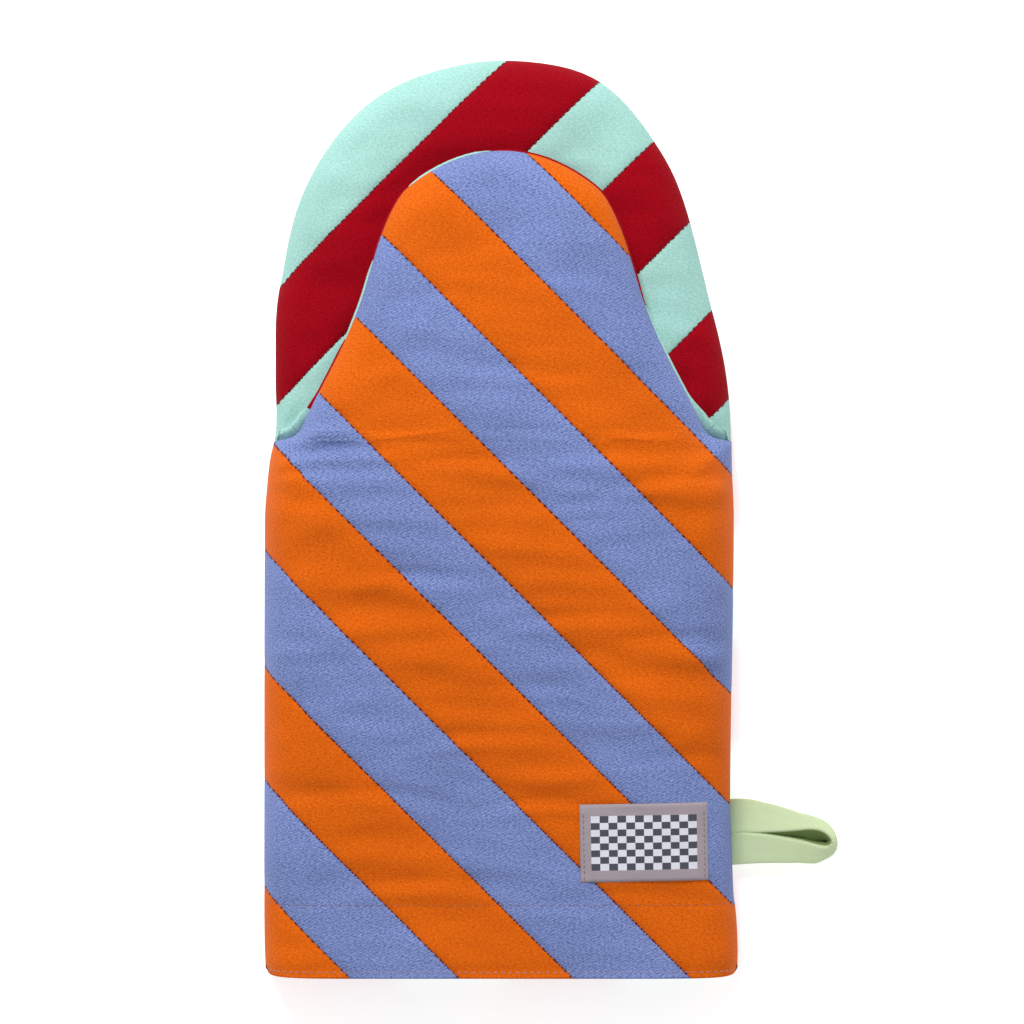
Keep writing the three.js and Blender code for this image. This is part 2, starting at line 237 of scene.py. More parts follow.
def back_z(x, y, edge):
    d = np.where(edge, 0, distance(HAND, x, y))
    return SEAM_Z * (1 - puff(d / BACK_ROUND))


# ------------------------------------------------------------------ grids
def rounding(steps, radius):
    """Distances from a seam, closer together where the surface turns down."""
    phi = np.arange(steps) / steps * math.pi / 2
    return radius * (1 - np.cos(phi) ** (2 / POWER))


def columns(spacing):
    """Places of the grid's columns as shares of the width."""
    near = rounding(max(int(30 / spacing), 4), TOP_ROUND)
    flat = np.linspace(TOP_ROUND, HALF_WIDTH, max(int(51 / spacing), 3))
    half = np.concatenate([near, flat]) / (2 * HALF_WIDTH)
    return np.concatenate([half, 1 - half[:-1][::-1]])


def tip_y(left, right, tip, x, centre):
    """Where the outline's tip crosses each x, by halving."""
    low, high = np.full_like(x, tip - 20), np.full_like(x, tip)
    for _ in range(40):
        y = (low + high) / 2
        inside = np.where(x < centre, left(y) < x, right(y) > x)
        low, high = np.where(inside, y, low), np.where(inside, high, y)
    return (low + high) / 2


TIP_MARGIN = 0.08
TIP_INSET_MOST = 4.0


class Panel:
    """A panel as a grid: rows run straight between the side seams, the last row is the arc of the tip."""

    def __init__(self, left, right, tip, centre, start, height, seams, slant, flip):
        self.left, self.right, self.tip, self.centre = left, right, tip, centre
        self.start, self.height, self.seams = start, height, np.array(seams, float)
        self.slant, self.flip = slant, flip

    def grid(self, spacing, start=None, inset=0.0):
        """Points in rows, closer together at the edges. The inset draws a layer in from sides and tip."""
        start = self.start if start is None else start
        near = self.tip - np.concatenate([rounding(max(int(30 / spacing), 4), TOP_ROUND)[1:], [TOP_ROUND]])
        rows = int((self.tip - TOP_ROUND - start) / spacing)
        y = np.concatenate([np.linspace(start, self.tip - TOP_ROUND, rows)[:-1], near[::-1]])
        if self.left is front_left:
            y = y[(y < CORNER_ROWS[0]) | (y > CORNER_ROWS[-1])]
            y = np.sort(np.concatenate([y, CORNER_ROWS]))
        u = columns(spacing)
        self.rows_y, self.columns_u = y, u
        x = mix(self.left(y)[:, None] + inset, self.right(y)[:, None] - inset, u[None, :])
        y = np.repeat(y[:, None], len(u), 1)
        edge = np.zeros(x.shape, bool)
        edge[:, [0, -1]] = True
        tx = mix(x[-1, 0], x[-1, -1], mix(TIP_MARGIN, 1 - TIP_MARGIN, u))
        ty = tip_y(self.left, self.right, self.tip, tx, self.centre)
        x, y = np.vstack([x, tx]), np.vstack([y, ty])
        edge = np.vstack([edge, np.ones(len(u), bool)])
        y = y - min(2 * inset, TIP_INSET_MOST) * smooth((y - self.tip + TOP_ROUND) / TOP_ROUND)
        return np.stack([x, y, self.height(x, y, edge)], 2)

    def normals(self, p):
        a = np.gradient(p, axis=1)
        b = np.gradient(p, axis=0)
        n = np.cross(a, b)
        n /= np.maximum(np.linalg.norm(n, axis=2, keepdims=True), 1e-9)
        return -n if self.flip else n

    def seam_place(self, x, y):
        """Distance across to the nearest seam, and run along it."""
        s = (x + self.slant * y) / math.sqrt(2)
        lines = self.seams / math.sqrt(2)
        k = np.abs(s[..., None] - lines).argmin(-1)
        return np.abs(s - lines[k]), (x - self.slant * y) / math.sqrt(2)


START_Y = CUFF_Y + EDGE_GAP
front = Panel(front_left, front_right, THUMB_TIP_Y, THUMB_X, START_Y, front_z, FRONT_SEAMS, 1, False)
finger = Panel(hand_left, hand_right, TIP_Y, 0.0, FOLD_Y, finger_z, FINGER_SEAMS, -1, False)
thumb_back = Panel(
    front_left, front_right, THUMB_TIP_Y, THUMB_X, FOLD_Y + 0.6, thumb_back_z, THUMB_BACK_SEAMS, 1, True
)
back = Panel(hand_left, hand_right, TIP_Y, 0.0, START_Y, back_z, BACK_SEAMS, 1, True)
PANELS = {"front": front, "finger": finger, "thumb_back": thumb_back, "back": back}


def outline_of(name):
    return HAND if name in ("finger", "back") else FRONT


# ------------------------------------------------------------------ relief of the quilted cloth
def value_noise(x, y, cell_x, cell_y, seed):
    """Smooth noise from -1 to 1 with the given cell size in millimetres."""
    r = np.random.default_rng(seed).uniform(-1, 1, (256, 256))
    u, v = x / cell_x + 100, y / cell_y + 100
    i, j = np.floor(u).astype(int), np.floor(v).astype(int)
    fu, fv = smooth(u - i), smooth(v - j)
    i0, j0, i1, j1 = i % 256, j % 256, (i + 1) % 256, (j + 1) % 256
    return mix(mix(r[i0, j0], r[i1, j0], fu), mix(r[i0, j1], r[i1, j1], fu), fv)


def pillow(across):
    """Swell of the padding between two seams, from 0 at a seam to 1 half a strip away."""
    return 1 - (1 - np.clip(across / PILLOW_REACH, 0, 1)) ** POWER


def ridge(x, y, cx, cy, length, width, angle, height):
    """One soft fold of cloth, bent a little, with a shallower one of the other sign beside it."""
    c, s = math.cos(math.radians(angle)), math.sin(math.radians(angle))
    a, b = (x - cx) * c + (y - cy) * s, (y - cy) * c - (x - cx) * s
    b = b - 0.004 * a * a * np.sign(height)
    return height * np.exp(-((a / length) ** 2)) * (
        np.exp(-((b / width) ** 2)) - 0.5 * np.exp(-(((b + 1.6 * width) / width) ** 2))
    )


PILLOW_HEIGHT, PILLOW_REACH = 1.1, 13.9
DITCH_DEPTH, DITCH_WIDTH = 0.42, 1.0
PUCKER_HEIGHT, PUCKER_REACH = 0.16, 5.0
UPPER_ROW_Y, LOWER_ROW_Y = CUFF_Y + HEM_DEPTH + 1, CUFF_Y + 2.4
FOLD_STRENGTH = 1.35
RELIEF_FADE = 9.0
LIP_WIDTH, RIM_WIDTH = 4.0, 1.15
CREASE_DEPTH, CREASE_WIDTH = 2.0, 1.2
SINK_START, SINK_MORE = 0.9, 0.6  # dips deeper than the first are slowed down, so the wadding stays covered

# Folds of the front panel: x, y, half length, half width, angle, height.
FRONT_FOLDS = [
    (-60, 23.5, 22, 2.2, 4, -1.5), (-66, 16.5, 12, 1.7, 3, -1.3), (-64, 29, 18, 3.0, 5, 0.8),
    (-60, 10, 26, 3.4, -4, 0.7), (-8, 20, 26, 2.6, -2, -0.8), (-4, 12, 24, 3.4, 0, 0.6),
    (-28, -20, 20, 2.4, -5, -0.8), (-24, -27, 22, 3.6, -3, 0.7), (62, 13.5, 24, 2.2, 5, -0.9),
    (50, 22, 26, 2.4, -4, -0.6), (66, 7, 22, 3.2, 3, 0.8), (40, 6, 24, 2.4, 0, -0.7),
    (26, -34, 26, 2.6, 2, -0.9), (28, -41, 24, 3.6, 3, 0.8), (62, -42, 22, 2.4, -5, -0.7),
    (66, -50, 22, 3.4, -3, 0.7), (20, -60, 22, 2.2, -6, -0.5), (-70, -44, 16, 2.4, 0, -0.4),
    (-10, -76, 24, 2.6, 4, -0.5), (-44, -96, 26, 2.6, -3, -0.5), (16, -100, 22, 2.0, 0, -0.8),
    (20, -92, 20, 3.0, 3, 0.6), (62, -84, 20, 2.6, 4, -0.5), (-30, -128, 30, 2.6, 2, -0.5),
    (50, -132, 26, 2.4, -2, -0.5), (4, 52, 24, 2.8, -4, -0.5), (-22, 78, 18, 2.6, 6, -0.4),
    (24, 84, 18, 2.6, -6, -0.4),
]
buckled = {}


def buckle_lift(name, panel, x, y):
    """Lift found by the cloth simulation, read between the points of its coarse mesh."""
    if name not in buckled:
        return 0.0
    rows_y, columns_u, field = buckled[name]
    left, right = panel.left(y), panel.right(y)
    u = (x - left) / np.maximum(right - left, 1)
    j = np.interp(y, rows_y, np.arange(len(rows_y)))
    i = np.interp(u, columns_u, np.arange(len(columns_u)))
    j0, i0 = np.minimum(j.astype(int), len(rows_y) - 2), np.minimum(i.astype(int), len(columns_u) - 2)
    fj, fi = j - j0, i - i0
    low = mix(field[j0, i0], field[j0, i0 + 1], fi)
    return mix(low, mix(field[j0 + 1, i0], field[j0 + 1, i0 + 1], fi), fj)


def relief(name, panel, x, y, edge_distance):
    """Height of the cloth above the plain surface."""
    across, _ = panel.seam_place(x, y)
    ditch = -DITCH_DEPTH * np.exp(-((across / DITCH_WIDTH) ** 2))
    pucker = PUCKER_HEIGHT * value_noise(x, y, 4.5, 4.0, 3) * np.exp(-((across / PUCKER_REACH) ** 2))
    waves = 0.5 * value_noise(x, y, 26, 8, 5) + 0.2 * value_noise(x, y, 13, 5, 7)
    total = PILLOW_HEIGHT * pillow(across) + ditch + pucker + waves
    if name == "front":
        upper = np.exp(-(((y - UPPER_ROW_Y) / 2.2) ** 2))
        lower = np.exp(-(((y - LOWER_ROW_Y) / 1.1) ** 2))
        total = total - 0.45 * upper - 0.35 * lower
        for fold in FRONT_FOLDS:
            total = total + FOLD_STRENGTH * ridge(x, y, *fold)
    if name == "finger":
        outer = distance(FRONT, x, y) - LIP_WIDTH - 0.3
        crease = np.exp(-((outer / CREASE_WIDTH) ** 2)) * smooth((y - FOLD_Y) / 3) * smooth((42 - y) / 8)
        total = total - CREASE_DEPTH * crease
    if name == "back":
        total = np.minimum(total, 0.3) * 0.4
    total = total + buckle_lift(name, panel, x, y)
    sunk = np.maximum(-SINK_START - total, 0)
    total = np.maximum(total, -SINK_START) - SINK_MORE * (1 - np.exp(-sunk / SINK_MORE))
    inner = smooth(edge_distance / RELIEF_FADE)
    return total * inner - 0.35 * (1 - inner) * np.exp(-((across / 2.5) ** 2)) * smooth(edge_distance / 0.4)


def outside(panel, x, y):
    """Unit plan direction out of the panel's outline, nearly the same all through its border."""
    line = FRONT if panel.left is front_left else HAND

    def signed(px, py):
        inside = (px > panel.left(py)) & (px < panel.right(py)) & (py < panel.tip)
        return np.where(inside, 1, -1) * distance(line, px, py)

    e = 0.6
    gx = signed(x - e, y) - signed(x + e, y)
    gy = signed(x, y - e) - signed(x, y + e)
    length = np.maximum(np.hypot(gx, gy), 1e-6)
    return gx / length, gy / length


def rolled_rim(panel, p):
    """Rolls the thumb's inner panel out past the front seam: thin rim, fat lip at both crotch corners."""
    x, y, z = p[..., 0], p[..., 1], p[..., 2]
    d = distance(FRONT, x, y)
    width = RIM_WIDTH + (LIP_WIDTH - RIM_WIDTH) * smooth((y - 24) / 3) * smooth((44 - y) / 14)
    band = np.clip(1 - d / BACK_ROUND, 0, 1)
    seam = seam_z(x, y, np.zeros(x.shape, bool))
    drop = (seam - z) / np.maximum(seam - finger_z(x, y) - THUMB_SLOT, 0.8)
    fade = smooth((y - 24.5) / 2.5)
    swell = np.sin(math.pi * np.clip(drop, 0, 1)) ** 0.8 * smooth(band * 3)
    gx, gy = outside(panel, x, y)
    amount = width * swell * fade
    crest = 0.6 * width * np.sin(math.pi * np.clip(drop * 2, 0, 1)) * smooth(band * 3) * fade
    return np.stack([x + gx * amount, y + gy * amount, z + crest], -1)


# ------------------------------------------------------------------ meshes
def new_object(name, verts, faces, material, uv=None):
    """Mesh object from points in millimetres, with its materials and its named cloth coordinates."""
    mesh = bpy.data.meshes.new(name)
    points = [tuple(v) for v in np.asarray(verts) * MM]
    mesh.from_pydata(points, [], [tuple(int(i) for i in f) for f in faces])
    for m in material if isinstance(material, list) else [material]:
        mesh.materials.append(m)
    mesh.polygons.foreach_set("use_smooth", [True] * len(mesh.polygons))
    for layer_name, values in (uv or {}).items():
        layer = mesh.uv_layers.new(name=layer_name)
        loops = np.empty(len(mesh.loops), int)
        mesh.loops.foreach_get("vertex_index", loops)
        layer.data.foreach_set("uv", np.asarray(values)[loops].astype(np.float32).ravel())
    obj = bpy.data.objects.new(name, mesh)
    scene.collection.objects.link(obj)
    return obj


def quads(rows, cols, flip=False):
    """Faces of a grid of points."""
    j, i = np.meshgrid(np.arange(rows - 1), np.arange(cols - 1), indexing="ij")
    a = (j * cols + i).ravel()
    f = np.stack([a, a + 1, a + cols + 1, a + cols], 1)
    return f[:, ::-1] if flip else f


def closed_faces(rows, cols, flip=False):
    """Faces of two grids of points, top then bottom, joined by a wall round their rim."""
    face = quads(rows, cols, flip)
    count = rows * cols
    rim = np.concatenate([
        np.arange(cols),
        np.arange(1, rows) * cols + cols - 1,
        (rows - 1) * cols + np.arange(cols - 2, -1, -1),
        np.arange(rows - 2, 0, -1) * cols,
    ])
    wall = np.stack([rim, rim + count, np.roll(rim, -1) + count, np.roll(rim, -1)], 1)
    wall = wall[:, ::-1] if flip else wall
    return [list(f) for f in face] + [list(f[::-1] + count) for f in face] + [list(f) for f in wall]


def cloth_lengths(p):
    """Coordinates on the cloth in millimetres: along each row from the middle, and along each column."""
    across = np.linalg.norm(np.diff(p, axis=1), axis=2)
    u = np.concatenate([np.zeros((len(p), 1)), across.cumsum(1)], 1)
    mid = p.shape[1] // 2
    u = u - u[:, mid : mid + 1]
    along = np.linalg.norm(np.diff(p[:, mid], axis=0), axis=1)
    v = np.concatenate([[0], along.cumsum()])
    return np.stack([u, np.repeat(v[:, None], p.shape[1], 1)], 2)


SEAM_BORDER = 1.3  # extra cuts beside each seam, so that the stitched ditch has points of its own


def cut_strips(panel, p, n, uv):
    """Cuts a panel's grid along its seams: points, normals, cloth coordinates, faces, each face's strip."""
    bm = bmesh.new()
    nl = bm.verts.layers.float_vector.new("n")
    ul = bm.verts.layers.float_vector.new("u")
    flat, nf, uf = p.reshape(-1, 3), n.reshape(-1, 3), uv.reshape(-1, 2)
    verts = []
    for co, nv, uvv in zip(flat, nf, uf):
        v = bm.verts.new(co)
        v[nl] = nv
        v[ul] = (uvv[0], uvv[1], 0)
        verts.append(v)
    for f in quads(p.shape[0], p.shape[1], panel.flip):
        bm.faces.new([verts[i] for i in f])
    for s in panel.seams:
        for aside in (0, -SEAM_BORDER, SEAM_BORDER):
            at = s + aside * math.sqrt(2)
            bmesh.ops.bisect_plane(
                bm,
                geom=bm.verts[:] + bm.edges[:] + bm.faces[:],
                dist=1e-5,
                plane_co=(at, 0, 0),
                plane_no=Vector((1, panel.slant, 0)).normalized(),
            )
    bm.verts.index_update()
    co = np.array([v.co for v in bm.verts])
    nn = np.array([v[nl] for v in bm.verts])
    uu = np.array([v[ul] for v in bm.verts])[:, :2]
    faces = [[v.index for v in f.verts] for f in bm.faces]
    bm.free()
    middle = np.array([co[f].mean(0) for f in faces])
    strip = np.searchsorted(panel.seams, middle[:, 0] + panel.slant * middle[:, 1])
    return co, nn, uu, faces, strip


def compact(faces):
    """The points that some faces use, and the faces counted in those points."""
    used = sorted({i for f in faces for i in f})
    index = {v: k for k, v in enumerate(used)}
    return used, [[index[i] for i in f] for f in faces]


def offset(p, n, depth):
    return p - n * depth


def slab(panel, spacing, top, bottom, start, name):
    """Closed layer between two depths of a panel."""
    p = panel.grid(spacing, start, INSETS[name])
    n = panel.normals(p)
    if name == "finger":
        p, n = fold_rows(p, n)
    a, b = offset(p, n, top).reshape(-1, 3), offset(p, n, bottom).reshape(-1, 3)
    return np.concatenate([a, b]), closed_faces(*p.shape[:2], panel.flip)


# ------------------------------------------------------------------ materials
def srgb(r, g, b):
    return tuple(((c / 255 + 0.055) / 1.055) ** 2.4 if c > 10 else c / 255 / 12.92 for c in (r, g, b)) + (1,)


class Graph:
    """The node tree of one material, round its Principled shader."""

    def __init__(self, name):
        self.material = bpy.data.materials.new(name)
        self.material.use_nodes = True
        self.tree = self.material.node_tree
        self.tree.nodes.clear()
        out = self.node("ShaderNodeOutputMaterial")
        self.bsdf = self.node("ShaderNodeBsdfPrincipled")
        self.link(self.bsdf.outputs[0], out.inputs[0])

    def node(self, kind):
        return self.tree.nodes.new(kind)

    def link(self, a, b):
        self.tree.links.new(a, b)

    def feed(self, socket, v):
        if isinstance(v, (int, float, tuple)):
            socket.default_value = v
        elif v is not None:
            self.link(v, socket)

    def value(self, op, a, b=None, c=None, clamp=False):
        n = self.node("ShaderNodeMath")
        n.operation = op
        n.use_clamp = clamp
        for socket, v in zip(n.inputs, (a, b, c)):
            self.feed(socket, v)
        return n.outputs[0]

    def mix(self, factor, a, b):
        n = self.node("ShaderNodeMix")
        n.data_type = "RGBA"
        for k, v in ((0, factor), (6, a), (7, b)):
            self.feed(n.inputs[k], v)
        return n.outputs[2]

    def noise(self, vector, scale, stretch=(1, 1, 1), detail=2.0, angle=0.0):
        m = self.node("ShaderNodeMapping")
        m.inputs["Scale"].default_value = stretch
        m.inputs["Rotation"].default_value = (0, 0, math.radians(angle))
        self.link(vector, m.inputs[0])
        n = self.node("ShaderNodeTexNoise")
        n.inputs["Scale"].default_value = scale
        n.inputs["Detail"].default_value = detail
        self.link(m.outputs[0], n.inputs["Vector"])
        return n.outputs[0]

    def axes(self, layer):
        """A layer of cloth coordinates: the vector, its first part and its second."""
        uv = self.node("ShaderNodeUVMap")
        uv.uv_map = layer
        parts = self.node("ShaderNodeSeparateXYZ")
        self.link(uv.outputs[0], parts.inputs[0])
        return uv.outputs[0], parts.outputs[0], parts.outputs[1]

    def bump(self, height, strength, depth):
        bump = self.node("ShaderNodeBump")
        bump.inputs["Strength"].default_value = strength
        bump.inputs["Distance"].default_value = depth
        self.link(height, bump.inputs["Height"])
        self.link(bump.outputs[0], self.bsdf.inputs["Normal"])

    def finish(self, **inputs):
        """Feeds the shader's inputs, written with _ for a space, and gives the material back."""
        for name, v in inputs.items():
            self.feed(self.bsdf.inputs[name.replace("_", " ")], v)
        return self.material


# The seams' needle holes are painted as dark dots of shade, SEAM_PITCH apart.
SEAM_PITCH, SEAM_SHARE = 2.8, 0.4
HOLE_SIZE = (0.42, 0.5)  # half width across the seam and half length along it


def cloth(name, base, dark, light, twill, angle, pitch, hole_shade=None, fuzz=0.05, mottle=1.0):
    """Woven cotton: twill lines, lighter and darker yarns, fuzz, and needle holes along the seams, whose
    shade is painted as dark dots, with fainter painted shade down each seam's crack.
    """
    g = Graph(name)
    vector, x, y = g.axes("weave")
    turn = math.radians(angle)
    wobble = g.noise(vector, 0.12, detail=3.0)
    line = g.value("MULTIPLY", x, -math.sin(turn) * 2 * math.pi / pitch)
    line = g.value("MULTIPLY_ADD", y, math.cos(turn) * 2 * math.pi / pitch, line)
    line = g.value("MULTIPLY_ADD", wobble, 14.0, line)
    wave = g.value("SINE", line)
    yarn = g.noise(vector, 1.9, (0.6, 1.3, 1), 2.0, angle)
    speck = g.noise(vector, 1.0, (0.9, 1.3, 1), 4.0, angle)
    broad = g.noise(vector, 0.03, detail=3.0)
    t = g.value("MULTIPLY_ADD", wave, twill, 0.5)
    t = g.value("MULTIPLY_ADD", g.value("SUBTRACT", yarn, 0.5), 2.6 * mottle, t)
    t = g.value("MULTIPLY_ADD", g.value("SUBTRACT", speck, 0.5), 2.2 * mottle, t, clamp=True)
    colour = g.mix(t, srgb(*dark), srgb(*light))
    colour = g.mix(0.3, colour, srgb(*base))
    bright = g.node("ShaderNodeVectorMath")
    bright.operation = "SCALE"
    g.link(colour, bright.inputs[0])
    g.link(g.value("MULTIPLY_ADD", broad, 0.3, 0.85), bright.inputs["Scale"])
    colour = bright.outputs[0]
    height = g.value("MULTIPLY_ADD", wave, twill, g.value("MULTIPLY", yarn, 1.2))
    # Painted shade: dark dots where the needle holes are and a fainter dark line down the seam's crack; the
    # same mask also presses the bump in.
    if hole_shade is not None:
        seam, across, along = g.axes("seam")
        jitter = g.noise(seam, 0.35, detail=0.0)
        run = g.value("MULTIPLY_ADD", jitter, 0.9, g.value("DIVIDE", along, SEAM_PITCH))
        cell = g.value("SUBTRACT", g.value("FRACT", run), 0.5)
        a = g.value("MULTIPLY", cell, SEAM_PITCH / HOLE_SIZE[1])
        b = g.value("DIVIDE", across, HOLE_SIZE[0])
        square = g.value("MULTIPLY_ADD", a, a, g.value("MULTIPLY", b, b))
        dot = g.value("SUBTRACT", 1.25, square, clamp=True)
        crack = g.value("MULTIPLY_ADD", across, -1 / 0.3, 1.0, clamp=True)
        dent_and_painted_shade = g.value("MAXIMUM", dot, g.value("MULTIPLY", crack, 0.4))
        colour = g.mix(dent_and_painted_shade, colour, srgb(*hole_shade))
        height = g.value("MULTIPLY_ADD", dent_and_painted_shade, -2.5, height)
    g.bump(height, 0.35, 0.00025)
    return g.finish(
        Base_Color=colour, Roughness=0.9, Sheen_Weight=fuzz, Sheen_Roughness=0.5, Specular_IOR_Level=0.08
    )


# Dark colour of the painted shade in the needle holes and seam cracks of the orange and blue cloth; mint and
# crimson get their own painted shade colours below.
HOLE_SHADE_MAROON = (96, 20, 18)
TWILL_ANGLE = 25
shell = {
    "orange": cloth(
        "orange_twill", (209, 92, 8), (186, 72, 2), (230, 112, 20), 0.10, TWILL_ANGLE, 0.8, HOLE_SHADE_MAROON,
        fuzz=0.03, mottle=0.8,
    ),
    "blue": cloth(
        "blue_twill", (104, 121, 176), (66, 80, 142), (150, 166, 212), 0.14, TWILL_ANGLE, 0.95, HOLE_SHADE_MAROON,
        mottle=0.7,
    ),
    "mint": cloth(
        "mint_twill", (152, 198, 189), (134, 185, 175), (171, 211, 204), 0.06, TWILL_ANGLE, 0.7,
        (110, 20, 30),
    ),
    "crimson": cloth(
        "crimson_twill", (144, 0, 16), (122, 0, 10), (162, 2, 25), 0.08, TWILL_ANGLE, 0.7, (60, 4, 12),
        fuzz=0.0,
    ),
}
lining_cloth = cloth("lining_cotton", (233, 226, 210), (214, 206, 188), (245, 240, 228), 0.1, 90, 0.6)
wadding_fleece = cloth("wadding_fleece", (240, 238, 231), (222, 220, 212), (250, 249, 244), 0.0, 0, 1.0)


def thread_material(name, colour):
    g = Graph(name)
    coord = g.node("ShaderNodeTexCoord")
    mottled = g.noise(coord.outputs["Object"], 1600.0, detail=1.0)
    dark = tuple(c * 0.55 for c in colour)
    return g.finish(Base_Color=g.mix(mottled, srgb(*dark), srgb(*colour)), Roughness=0.6)


RUST = thread_material("rust_thread", (118, 34, 24))
PALE = thread_material("pale_thread", (196, 160, 172))
DUSKY = thread_material("dusky_thread", (150, 96, 96))
WINE = thread_material("wine_thread", (128, 12, 30))
GREY = thread_material("grey_thread", (150, 150, 156))

# ------------------------------------------------------------------ cloth simulation of the shell
SIM_SPACING = 2.6
SIM_FRAMES, SIM_GATHER = 26, 16  # frames in all, and the frame by which the seams are in their places
SIM_LIMIT = 1.3
SIM_FADE = 14.0
SEWN_ACROSS, SEWN_EDGE = 1.35, 2.0


def extra_length(name, y):
    """How much longer the cloth is cut than the wadding under it, along the hand."""
    if name == "front":
        return 0.010 + 0.030 * np.exp(-(((y - 12) / 24) ** 2)) + 0.012 * np.exp(-(((y + 40) / 30) ** 2))
    return np.full_like(y, 0.006 if name == "back" else 0.010)


def simulate(name, panel):
    """Sews a panel down over its wadding: seams and edges are drawn in, the cloth between them buckles."""
    p = panel.grid(SIM_SPACING)
    n = panel.normals(p)
    x, y = p[..., 0], p[..., 1]
    across, _ = panel.seam_place(x, y)
    edge_d = distance(outline_of(name), x, y)
    plump = 0.7 * pillow(across) * smooth(edge_d / RELIEF_FADE)
    sewn_place = p + n * (plump + 0.12 * value_noise(x, y, 16, 6, 41))[..., None]
    rows, cols = x.shape
    dense = np.linspace(-170, 170, 681)
    stretch = np.concatenate([[0], (extra_length(name, dense[1:]) * np.diff(dense)).cumsum()])
    cutting = sewn_place.copy()
    cutting[..., 1] += np.interp(y, dense, stretch)
    obj = new_object(name + "_sim", cutting.reshape(-1, 3), quads(rows, cols, panel.flip), [])
    obj.shape_key_add(name="cut")
    key = obj.shape_key_add(name="sewn_down")
    key.data.foreach_set("co", (sewn_place * MM).astype(np.float32).ravel())
    for value_now, frame_number in ((0.0, 1), (1.0, SIM_GATHER)):
        key.value = value_now
        key.keyframe_insert("value", frame=frame_number)
    sewn = obj.vertex_groups.new(name="sewn")
    fixed = (across < SEWN_ACROSS) | (edge_d < SEWN_EDGE)
    fixed[[0, -1], :] = True
    fixed[:, [0, -1]] = True
    sewn.add([int(i) for i in np.flatnonzero(fixed.ravel())], 1.0, "REPLACE")
    cloth_mod = obj.modifiers.new("cloth", "CLOTH")
    c = cloth_mod.settings
    c.quality = 6
    c.mass = 0.01
    c.tension_stiffness = c.compression_stiffness = 12
    c.shear_stiffness = 4
    c.bending_stiffness = 0.01
    c.tension_damping = c.compression_damping = c.shear_damping = 1
    c.air_damping = 1
    c.vertex_group_mass = "sewn"
    c.pin_stiffness = 50
    c.effector_weights.gravity = 0
    cloth_mod.collision_settings.use_collision = False
    cloth_mod.point_cache.frame_start = 1
    cloth_mod.point_cache.frame_end = SIM_FRAMES
    for frame_number in range(1, SIM_FRAMES + 1):
        scene.frame_set(frame_number)
    shaped = obj.evaluated_get(bpy.context.evaluated_depsgraph_get()).to_mesh()
    co = np.empty(len(shaped.vertices) * 3, np.float32)
    shaped.vertices.foreach_get("co", co)
    lift = ((co.reshape(rows, cols, 3) / MM - sewn_place) * n).sum(2)
    around = lift[:-2, 1:-1] + lift[2:, 1:-1] + lift[1:-1, :-2] + lift[1:-1, 2:]
    soft = lift.copy()
    soft[1:-1, 1:-1] = lift[1:-1, 1:-1] * 0.5 + 0.125 * around
    data, action = obj.data, obj.data.shape_keys.animation_data.action
    bpy.data.objects.remove(obj)
    bpy.data.actions.remove(action)
    bpy.data.meshes.remove(data)
    field = np.clip(soft, -SIM_LIMIT, SIM_LIMIT) * smooth(edge_d / SIM_FADE)
    buckled[name] = (panel.rows_y, panel.columns_u, field[:-1])


# ------------------------------------------------------------------ the shell strips
SPACING = 1.7
COLOURS = {
    "front": ["orange", "blue"], "finger": ["mint", "crimson"], "thumb_back": ["mint", "crimson"],
    "back": ["crimson", "mint"],
}


def strip_nodes(start, count):
    return [f"{start}_strip_{k + 1:02d}" for k in range(count)]


# CAD nodes that each strip stands for. Four strips cross the thumb's hinge line and stand for two each.
PALM_STRIPS, THUMB_STRIPS, SHARED_STRIPS = 9, 6, 4
palm_nodes, thumb_nodes = strip_nodes("palm", PALM_STRIPS), strip_nodes("thumb_front", THUMB_STRIPS)
ALONE = PALM_STRIPS - SHARED_STRIPS
NODES = {
    "front": [[n] for n in palm_nodes[:ALONE]]
    + [list(pair) for pair in zip(palm_nodes[ALONE:], thumb_nodes)]
    + [[n] for n in thumb_nodes[SHARED_STRIPS:]],
    "finger": [[n] for n in strip_nodes("finger_front", 7)],
    "thumb_back": [[n] for n in strip_nodes("thumb_back", 6)],
    "back": [[n] for n in strip_nodes("back", 11)],
}
BEND_START, BEND_END = (0, 0.014, 0), (0, 0.078, 0)


def move_with(obj, name, top_y):
    """Pieces of the thumb's two panels that reach past the crotch get their transform baked and stay
    unattached. Everything else stays with the hand.
    """
    if name in ("front", "thumb_back") and top_y > BEND_START[1] / MM:
        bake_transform(obj)
    else:
        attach(obj, "hand")


def fold_rows(p, n):
    """Rows round the crotch fold, from the thumb's side to the first row on the fingers' side."""
    x = p[0, :, 0] * FOLD_SHARE
    z = finger_z(x, np.full_like(x, FOLD_Y)) + FOLD_RADIUS
    rows, normals = [], []
    for degrees in (180, 150, 120, 90, 60, 30):
        turn = math.radians(degrees)
        sin, cos = math.sin(turn), math.cos(turn)
        rows.append(np.stack([x, np.full_like(x, FOLD_Y) - FOLD_RADIUS * sin, z - FOLD_RADIUS * cos], 1))
        normals.append(np.tile([0, sin, cos], (len(x), 1)))
    return np.concatenate([np.stack(rows), p]), np.concatenate([np.stack(normals), n])


for name, panel in PANELS.items():
    simulate(name, panel)

